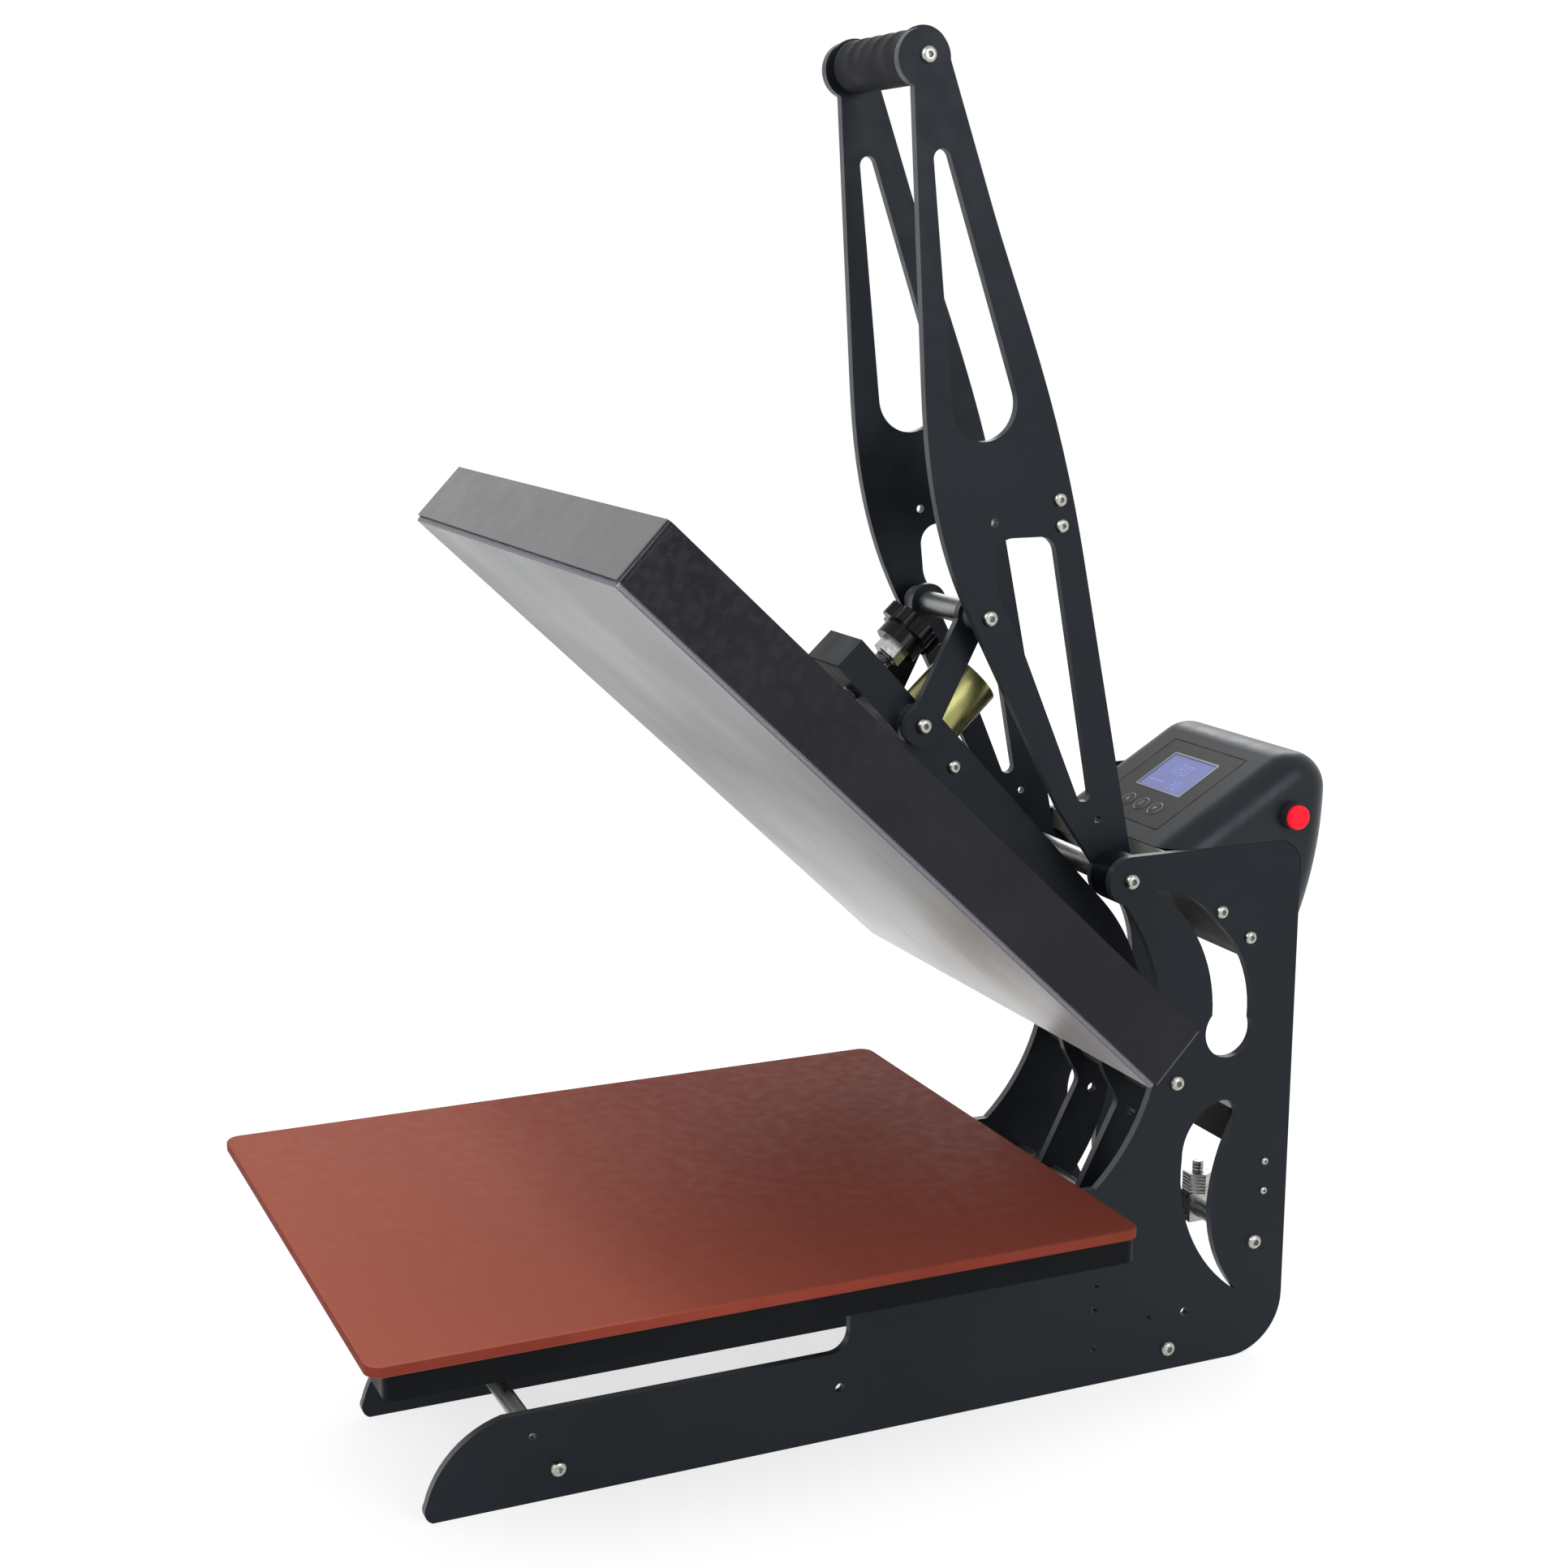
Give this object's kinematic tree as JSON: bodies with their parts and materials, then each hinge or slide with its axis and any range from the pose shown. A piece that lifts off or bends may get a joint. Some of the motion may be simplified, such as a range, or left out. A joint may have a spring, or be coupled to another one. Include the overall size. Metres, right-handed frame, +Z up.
{
  "type": "flat heat press",
  "caption": "Clamshell flat heat press with a padded bed, a raised heated platen on a toggle handle, a pressure knob and a rear control box.",
  "frame": {"origin": "on the floor, under the middle of the press's width and length", "axes": "+Z up, -Y the operator's side, X across the press"},
  "size_m": [0.404, 0.722, 0.9085],
  "materials": {
    "black_frame": "satin powder coat",
    "black_cover": "wrinkle paint",
    "dark_pan": "satin powder coat",
    "tray_green": "satin",
    "rails": "satin powder coat",
    "plain_steel": "turned, satin",
    "screw_steel": "bright",
    "spacer_grey": "satin",
    "platen_aluminium": "machined, satin",
    "silicone": "matte",
    "foam": "matte",
    "box_plastic": "satin",
    "panel_plastic": "matte",
    "lcd": "backlit",
    "key_plastic": "matte",
    "red_button": "lit from behind",
    "gold_chromate": "plated",
    "wound_core": "potted",
    "knob_plastic": "gloss",
    "board_green": "matte",
    "relay_black": "matte",
    "spring_steel": "drawn wire",
    "insulation_wool": "felted",
    "element_steel": "oxidised"
  },
  "bodies": {
    "base": {"side_plate_right": "black_frame", "side_plate_left": "black_frame", "tie_rods": "plain_steel", "frame_screws": "screw_steel", "lower_platen": "dark_pan", "silicone_pad": "silicone", "bed_rails": "rails", "handle_shaft": "plain_steel", "arm_shaft": "plain_steel", "arm_spacers": "plain_steel", "control_tray": "tray_green", "control_box": "box_plastic", "control_panel": "panel_plastic", "display": "lcd", "control_board": "board_green", "power_switch": "key_plastic", "power_inlet": "key_plastic", "relay": "relay_black", "relay_bracket": "plain_steel", "limit_switch": "relay_black", "switch_screws": "screw_steel", "stop_block": "plain_steel", "stop_bolt": "screw_steel"},
    "handle": {"handle_plate_right": "black_frame", "handle_plate_left": "black_frame", "handle_bushes": "plain_steel", "handle_grip": "foam", "grip_rod": "plain_steel", "grip_flanges": "black_frame", "grip_screws": "screw_steel", "armature": "plain_steel", "armature_bar": "black_frame", "armature_screws": "screw_steel", "crank_screws": "screw_steel"},
    "link": {"link_right": "black_frame", "link_left": "black_frame", "link_tube": "plain_steel", "link_spacers": "spacer_grey"},
    "arm": {"arm_plate_right": "black_frame", "arm_plate_left": "black_frame", "beam": "black_frame", "arm_screws": "screw_steel", "link_screws": "screw_steel", "arm_hub": "plain_steel", "magnet_cup": "gold_chromate", "magnet_core": "wound_core", "tail_pin": "plain_steel", "opening_springs": "spring_steel"},
    "platen": {"heat_platen": "platen_aluminium", "platen_cover": "black_cover", "heating_element": "element_steel", "insulation": "insulation_wool", "platen_hanger": "black_frame"},
    "stud": {"pressure_stud": "plain_steel"},
    "knob": {"pressure_knob": "knob_plastic", "lock_nut": "screw_steel"},
    "up_key": {"button_up": "key_plastic"},
    "menu_key": {"button_menu": "key_plastic"},
    "down_key": {"button_down": "key_plastic"},
    "power_key": {"power_button": "red_button"}
  },
  "joints": [
    {"name": "arm_swing", "type": "hinge", "parent": "base", "child": "arm", "pos_m": [0, 0.2398, 0.2128], "axis": [1, 0, 0], "range_deg": [0, 47.12], "stiffness_Nm_per_rad": 20, "springref_deg": -171.89, "deforming": ["opening_springs"]},
    {"name": "handle_swing", "type": "hinge", "parent": "base", "child": "handle", "pos_m": [0, 0.1984, 0.3604], "axis": [1, 0, 0], "range_deg": [0, 82.48]},
    {"name": "link_swing", "type": "hinge", "parent": "arm", "child": "link", "pos_m": [0, 0.06305, 0.46893], "axis": [1, 0, 0], "range_deg": [-88.58, 0]},
    {"name": "platen_level", "type": "hinge", "parent": "arm", "child": "platen", "pos_m": [0, 0.13728, 0.34993], "axis": [1, 0, 0], "range_deg": [-3.62, 0]},
    {"name": "stud_slide", "type": "slide", "parent": "arm", "child": "stud", "axis": [0, -0.7327, -0.6805], "range_m": [0, 0.01]},
    {"name": "knob_turn", "type": "hinge", "parent": "stud", "child": "knob", "pos_m": [0, 0.06091, 0.51886], "axis": [0, -0.7327, -0.6805], "range_deg": [0, 2057.2]},
    {"name": "up_press", "type": "slide", "parent": "base", "child": "up_key", "axis": [0, 0.5075, -0.8616], "range_m": [0, 0.0008], "stiffness_N_per_m": 600, "springref_m": -0.001},
    {"name": "menu_press", "type": "slide", "parent": "base", "child": "menu_key", "axis": [0, 0.5075, -0.8616], "range_m": [0, 0.0008], "stiffness_N_per_m": 600, "springref_m": -0.001},
    {"name": "down_press", "type": "slide", "parent": "base", "child": "down_key", "axis": [0, 0.5075, -0.8616], "range_m": [0, 0.0008], "stiffness_N_per_m": 600, "springref_m": -0.001},
    {"name": "power_press", "type": "slide", "parent": "base", "child": "power_key", "axis": [-1, 0, 0], "range_m": [0, 0.0025], "stiffness_N_per_m": 400, "springref_m": -0.002}
  ],
  "couplings": [
    {"joint": "handle_swing", "follows": "arm_swing", "ratio": 1.7506},
    {"joint": "link_swing", "follows": "arm_swing", "ratio": -1.88},
    {"joint": "platen_level", "follows": "arm_swing", "ratio": -0.076747},
    {"joint": "knob_turn", "follows": "stud_slide", "rad_per_m": 3590.4}
  ]
}
